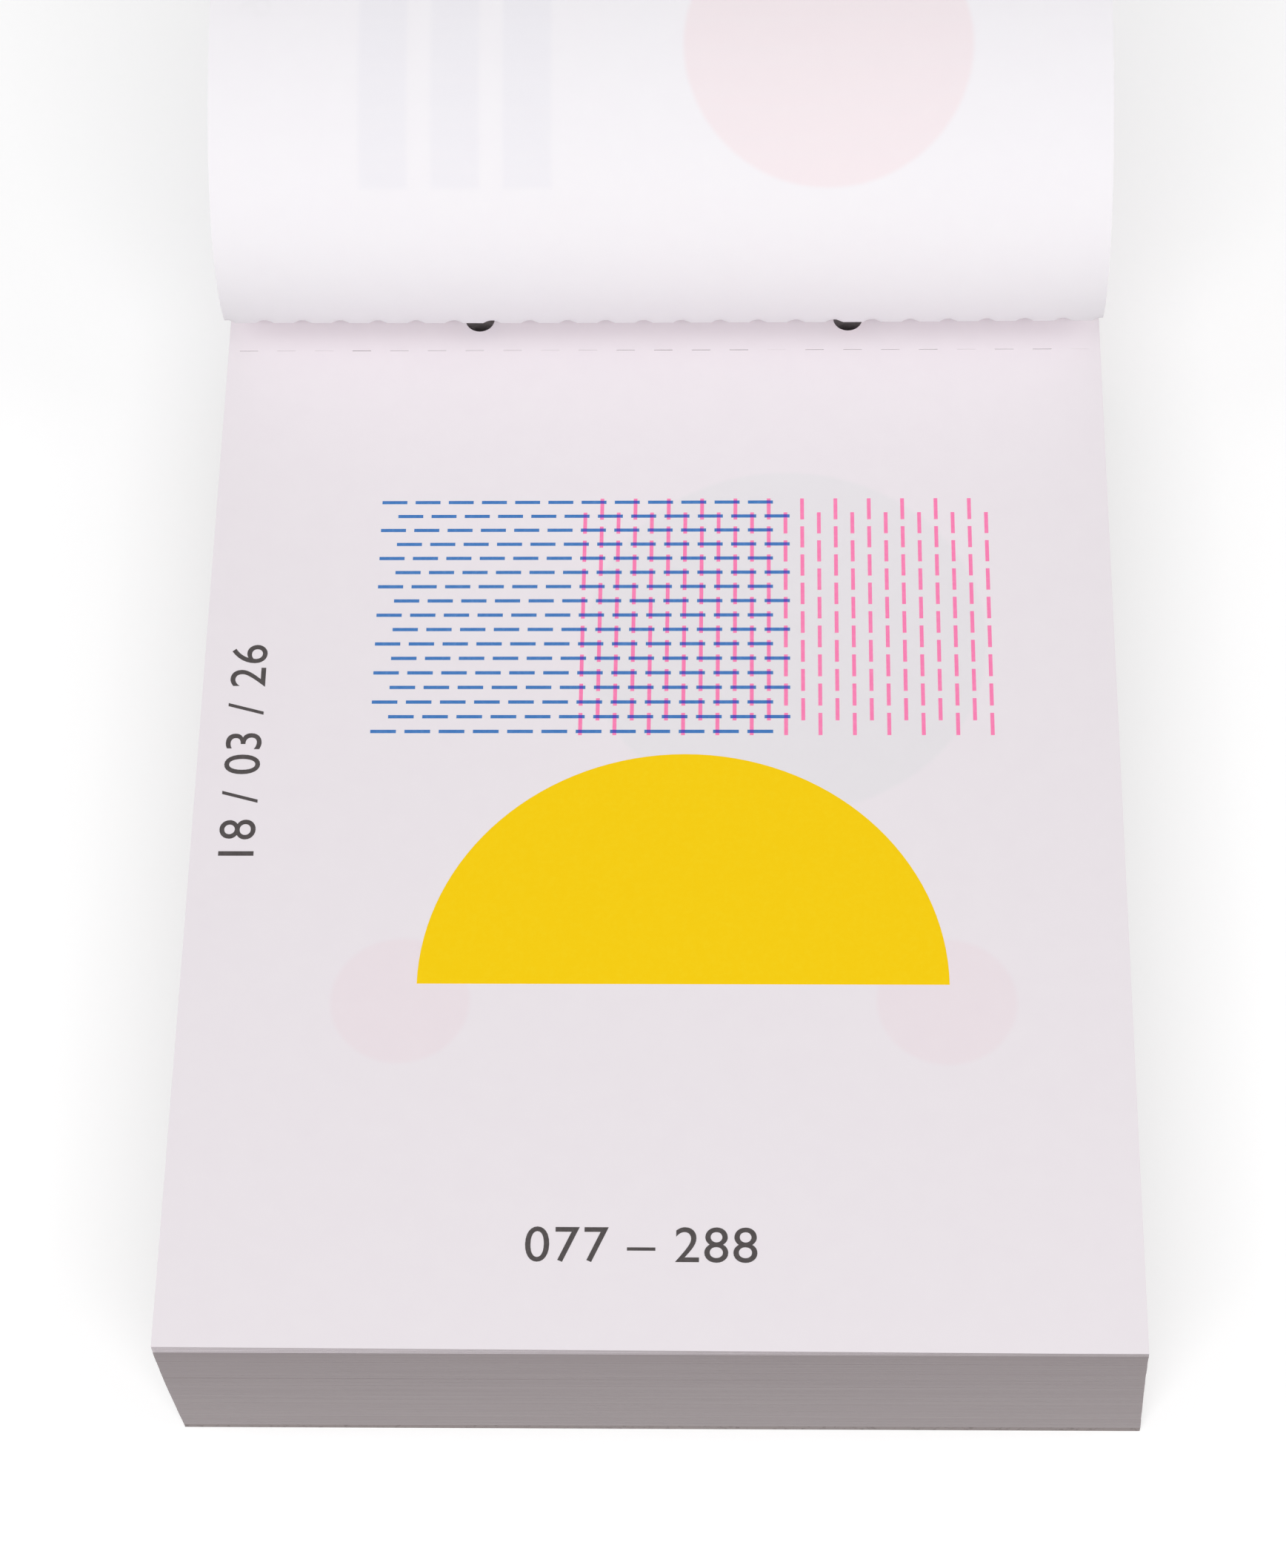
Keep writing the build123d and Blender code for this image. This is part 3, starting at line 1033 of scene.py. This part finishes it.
# Print of 17 March, on the turned leaf's far side: three bars, a disc and the day's numbers.
# It bends with the leaf, so its shapes are cut in narrow strips along the curve.
TURNED_STRIP = 1.5 * MM
SQUARE = [(-1, -1), (1, -1), (1, 1), (-1, 1)]


def turned_page(x, y, height):
    """Places on the turned leaf's printed side at a height above it."""
    distances = PERFORATION_Y - y
    line_y, line_z, heading = np.array([leaf_line(distance) for distance in distances]).T
    bow = np.array([leaf_bow(distance) for distance in distances])
    back, up = fold_bend(x)
    page_y = line_y + bow * back + height * np.sin(heading)
    page_z = line_z + bow * up - height * np.cos(heading)
    return np.stack([x, page_y, page_z], -1)


turned_prints = []
for number, bar_x in enumerate(BAR_XS, 1):
    bar = flat_outline([(bar_x + i * BAR_HALF_SIZE[0], BAR_Y + j * BAR_HALF_SIZE[1]) for i, j in SQUARE])
    turned_prints.append(
        ink_film(f"turned_blue_bar_{number}", bar, turned_page, INK_FILM, TURNED_STRIP, blue_ink)
    )
disc = flat_disc(TURNED_DISC_CENTRE, TURNED_DISC_RADIUS)
turned_prints.append(ink_film("turned_pink_disc", disc, turned_page, INK_FILM, TURNED_STRIP, pink_ink))
turned_prints += number_films(
    "turned", "076 \u2013 289", "17 / 03 / 26", turned_page, INK_FILM, TURNED_STRIP
)
for piece in turned_prints:
    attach(piece, "turned_leaf")

# Padding glue: a film of white emulsion, brushed on along the head edge, that holds board and leaves.
# It dries rubbery and a little shiny, with the brush's strokes in it and a ragged rim.
glue_low, glue_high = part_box("glue_binding")
GLUE_FILM = glue_high.y - glue_low.y
GLUE_MEAN = 0.7 * GLUE_FILM
GLUE_THINNEST = 0.1 * MM
GLUE_ROOT = 0.25 * MM
GLUE_STROKE_DEPTH = 0.09 * MM
GLUE_RIM = 0.35 * MM
UPPER_RIM_FINENESS = 3
RIM_ROWS = 3
RIM_THINNEST = 0.15
GLUE_ROWS = 60
GLUE_COLUMNS = 161
STROKE_KNOTS = 19
STROKE_LENGTH = 12 * MM
STROKE_HEIGHT = 0.7 * MM
GLUE_COLOURS = ("#e7e1d8", "#cfc7c1")
padding_glue = grained_material(
    "dried_padding_glue", {"roughness": 0.42, "ior": 1.47}, GLUE_COLOURS,
    (STROKE_LENGTH, STROKE_LENGTH, STROKE_HEIGHT), noise=0.6, spread=(0.45, 0.75), relief=(0.5, 0.05 * MM),
)

chance_strokes = np.random.default_rng(5)
glue_x = np.linspace(board_low.x, board_high.x, GLUE_COLUMNS)
knots = np.linspace(board_low.x, board_high.x, STROKE_KNOTS)
strokes = np.array(
    [np.interp(glue_x, knots, chance_strokes.normal(size=STROKE_KNOTS)) for row in range(GLUE_ROWS)]
)
rims = [np.interp(glue_x, knots, chance_strokes.random(STROKE_KNOTS)) * GLUE_RIM for side in range(2)]
glue_share = np.linspace(0, 1, GLUE_ROWS)[:, None]
glue_foot = glue_low.z + rims[0]
glue_crest = glue_high.z - rims[1] / UPPER_RIM_FINENESS
glue_z = glue_foot + glue_share * (glue_crest - glue_foot)
glue_lean = np.clip(1 - glue_z / BLOCK_TOP, 0, 1) ** LEAN_POWER
rim_fade = np.clip(np.minimum(glue_share, 1 - glue_share) * GLUE_ROWS / RIM_ROWS, RIM_THINNEST, 1)
glue_depth = rim_fade * np.clip(GLUE_MEAN + GLUE_STROKE_DEPTH * strokes, GLUE_THINNEST, GLUE_FILM)
leaned_x = glue_x[None, :] + BLOCK_LEAN.x * glue_lean
leaned_y = HEAD_Y + BLOCK_LEAN.y * glue_lean
glue = closed_sheet(
    "padding_glue_film",
    np.stack([leaned_x, leaned_y + glue_depth, glue_z], -1),
    np.stack([leaned_x, leaned_y - GLUE_ROOT, glue_z], -1),
    np.stack([leaned_x, glue_z], -1),
)
glue.data.materials.append(padding_glue)
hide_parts("glue_binding")
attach(glue, "block")

# Floor, light and camera: a white table under three soft lights and a pale sky.
# The camera stands where the photograph was taken from.
FLOOR_REACH = 4
FLOOR_COLOUR = "#d9d9d9"
FLOOR_GLOW = 0.39
FAR_GLOW = 0.76
GLOW_GROWS = (0.5, 2)
SKY_LEVEL = 0.35
SOFTBOXES = {
    "front_softbox": ((0, -1.54, 1.84), (2.4, 0.7), 36.5),
    "left_softbox": ((-0.9, -0.1, 0.8), (0.4, 0.9), 2.4),
    "right_softbox": ((0.9, -0.1, 0.8), (0.4, 0.9), 2.4),
}
LIGHT_TARGET = Vector((0, 0, 0.03))


def plain_view(tree):
    """1 for what the camera sees, straight or by way of gloss or glass, and 0 for other light."""
    path = add_node(tree, "ShaderNodeLightPath").outputs
    glossy = add_node(
        tree, "ShaderNodeMath", {0: path["Is Camera Ray"], 1: path["Is Glossy Ray"]}, operation="MAXIMUM"
    )
    return add_node(
        tree, "ShaderNodeMath", {0: glossy, 1: path["Is Transmission Ray"]}, operation="MAXIMUM"
    )


floor_mesh = bpy.data.meshes.new("table_top")
floor_mesh.from_pydata([(FLOOR_REACH * x, FLOOR_REACH * y, 0) for x, y in SQUARE], [], [range(4)])
floor = put("table_top", floor_mesh)
white_table, floor_tree, floor_surface = new_material("white_table", roughness=1.0, ior=1.45, specular=0)
floor_surface.inputs["Base Color"].default_value = linear(FLOOR_COLOUR)
floor_surface.inputs["Emission Color"].default_value = (1, 1, 1, 1)
floor_place = add_node(floor_tree, "ShaderNodeTexCoord").outputs["Object"]
floor_length = add_node(floor_tree, "ShaderNodeVectorMath", {0: floor_place}, operation="LENGTH")
floor_level = add_node(
    floor_tree, "ShaderNodeMapRange",
    {
        "Value": floor_length.outputs["Value"], "From Min": GLOW_GROWS[0], "From Max": GLOW_GROWS[1],
        "To Min": FLOOR_GLOW, "To Max": FAR_GLOW,
    },
)
floor_glow = add_node(
    floor_tree, "ShaderNodeMath", {0: plain_view(floor_tree), 1: floor_level}, operation="MULTIPLY"
)
floor_tree.links.new(floor_glow.outputs[0], floor_surface.inputs["Emission Strength"])
floor_mesh.materials.append(white_table)

world = bpy.data.worlds.new("studio")
bpy.context.scene.world = world
world.use_nodes = True
sky_tree = world.node_tree
sky = sky_tree.nodes["Background"]
sky.inputs["Color"].default_value = (1, 1, 1, 1)
sky_level = add_node(sky_tree, "ShaderNodeMapRange", {"Value": plain_view(sky_tree), "To Min": SKY_LEVEL})
sky_tree.links.new(sky_level.outputs[0], sky.inputs["Strength"])

for name, (place, size, power) in SOFTBOXES.items():
    lamp_data = bpy.data.lights.new(name, "AREA")
    lamp_data.shape = "RECTANGLE"
    lamp_data.size, lamp_data.size_y = size
    lamp_data.energy = power
    lamp = put(name, lamp_data)
    lamp.location = place
    lamp.rotation_mode = "QUATERNION"
    lamp.rotation_quaternion = (LIGHT_TARGET - lamp.location).to_track_quat("-Z", "Y")

CAMERA_PLACE = Vector((17.05, -342.54, 626.57)) * MM
CAMERA_PITCH = math.radians(60.086)
CAMERA_YAW = math.radians(-3.245)
CAMERA_ROLL = math.radians(-2.808)
camera_data = bpy.data.cameras.new("camera")
camera_data.sensor_width = 36
camera_data.lens = 97.14
camera = put("camera", camera_data)
camera.matrix_world = (
    Matrix.Translation(CAMERA_PLACE)
    @ Matrix.Rotation(-CAMERA_YAW, 4, "Z")
    @ Matrix.Rotation(math.pi / 2 - CAMERA_PITCH, 4, "X")
    @ Matrix.Rotation(CAMERA_ROLL, 4, "Z")
)
bpy.context.scene.camera = camera
bpy.context.scene.view_settings.view_transform = "Standard"
